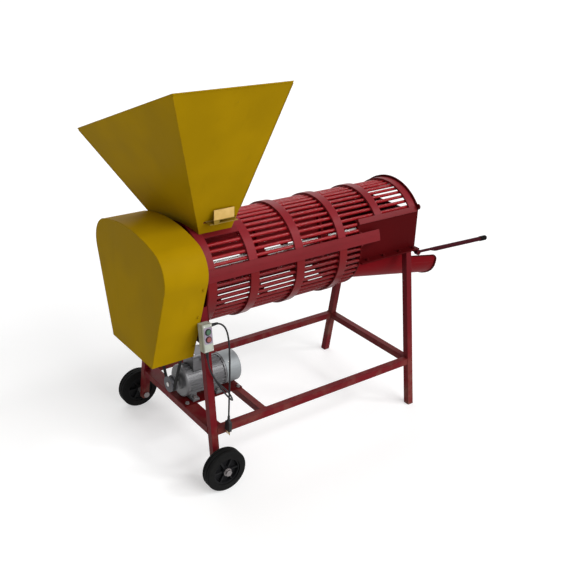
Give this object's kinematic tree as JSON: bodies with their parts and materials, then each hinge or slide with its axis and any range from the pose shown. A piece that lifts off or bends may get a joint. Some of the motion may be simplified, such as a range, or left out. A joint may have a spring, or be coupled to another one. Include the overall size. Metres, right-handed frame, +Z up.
{
  "type": "almond huller",
  "caption": "Wheeled almond huller: tilted feed hopper over a slotted bar drum with a belt-driven beater rotor, sliding feed gate and a weighted gate over the outlet chute.",
  "frame": {"origin": "bottom centre of the machine's box, on the floor", "axes": "+X along the drum from the belt guard to the outlet, +Z up, -Y the side with the switch box"},
  "size_m": [1.8409, 0.821, 1.6136],
  "materials": {
    "yellow_paint": "gloss paint on sheet steel",
    "red_paint": "gloss paint on steel",
    "frame_paint": "gloss paint on square tube",
    "bright_steel": "turned or bare steel",
    "cast_iron": "painted casting",
    "motor_grey": "silver grey paint on a casting",
    "rim_black": "moulded, satin",
    "tyre_black": "moulded",
    "belt_black": "matt",
    "lead_black": "matt sheath",
    "plastic_black": "moulded",
    "box_grey": "moulded",
    "start_green": "moulded",
    "stop_red": "moulded"
  },
  "bodies": {
    "frame": {"hopper": "yellow_paint", "belt_guard": "yellow_paint", "lower_hoops": "red_paint", "lower_bars": "red_paint", "upper_hoops": "red_paint", "upper_bars": "red_paint", "split_rails": "red_paint", "cover_rails": "red_paint", "outlet_bulkhead": "red_paint", "outlet_wall_near": "red_paint", "outlet_wall_far": "red_paint", "discharge_end_plate": "red_paint", "discharge_chute": "red_paint", "drive_end_plate": "red_paint", "throat_frame": "red_paint", "throat_plate": "red_paint", "stand_leg_near": "frame_paint", "stand_leg_far": "frame_paint", "wheel_leg_near": "frame_paint", "wheel_leg_far": "frame_paint", "side_rail_near": "frame_paint", "side_rail_far": "frame_paint", "cross_rail_wheel_end": "frame_paint", "cross_rail_stand_end": "frame_paint", "cross_rail_motor": "frame_paint", "motor_plate": "frame_paint", "guard_back_plate": "frame_paint", "stub_axles": "bright_steel", "axle_nuts": "bright_steel", "drum_bolts": "bright_steel", "drive_bearing": "cast_iron", "discharge_bearing": "cast_iron", "motor_body": "motor_grey", "motor_front_shield": "motor_grey", "motor_fan_cover": "motor_grey", "terminal_box": "motor_grey", "drive_belt": "belt_black", "mains_lead": "lead_black", "motor_lead": "lead_black", "mains_plug": "plastic_black", "cable_glands": "plastic_black", "switch_box": "box_grey"},
    "rotor": {"rotor_shaft": "bright_steel", "rotor_spiders": "red_paint", "beater_bars": "red_paint", "beater_pegs": "red_paint", "rotor_pulley": "cast_iron"},
    "motor_rotor": {"armature_shaft": "bright_steel", "motor_fan": "plastic_black", "motor_pulley": "cast_iron"},
    "wheel_near": {"tyre_near": "tyre_black", "rim_near": "rim_black"},
    "wheel_far": {"tyre_far": "tyre_black", "rim_far": "rim_black"},
    "feed_slide": {"feed_gate": "bright_steel"},
    "discharge_gate": {"gate_flap": "red_paint", "gate_lever": "frame_paint", "lever_grip": "plastic_black"},
    "start_key": {"start_button": "start_green"},
    "stop_key": {"stop_button": "stop_red"}
  },
  "joints": [
    {"name": "rotor_spin", "type": "hinge", "parent": "frame", "child": "rotor", "pos_m": [-0.21431, 0, 0.802], "axis": [1, 0, 0], "continuous": true},
    {"name": "motor_spin", "type": "hinge", "parent": "frame", "child": "motor_rotor", "pos_m": [-0.61431, -0.02, 0.32], "axis": [1, 0, 0], "continuous": true},
    {"name": "wheel_near_spin", "type": "hinge", "parent": "frame", "child": "wheel_near", "pos_m": [-0.70631, -0.3725, 0.09], "axis": [0, 1, 0], "continuous": true},
    {"name": "wheel_far_spin", "type": "hinge", "parent": "frame", "child": "wheel_far", "pos_m": [-0.70631, 0.3725, 0.09], "axis": [0, 1, 0], "continuous": true},
    {"name": "feed_gate_slide", "type": "slide", "parent": "frame", "child": "feed_slide", "axis": [0, -1, 0], "range_m": [0, 0.19]},
    {"name": "discharge_gate_swing", "type": "hinge", "parent": "frame", "child": "discharge_gate", "pos_m": [0.45069, 0, 0.722], "axis": [0, -1, 0], "range_deg": [0, 50]},
    {"name": "start_press", "type": "slide", "parent": "frame", "child": "start_key", "axis": [0, 0.9883, -0.1522], "range_m": [0, 0.004], "stiffness_N_per_m": 800},
    {"name": "stop_press", "type": "slide", "parent": "frame", "child": "stop_key", "axis": [0, 0.9883, -0.1522], "range_m": [0, 0.004], "stiffness_N_per_m": 800}
  ],
  "couplings": [
    {"joint": "motor_spin", "follows": "rotor_spin", "ratio": 6.8667}
  ]
}
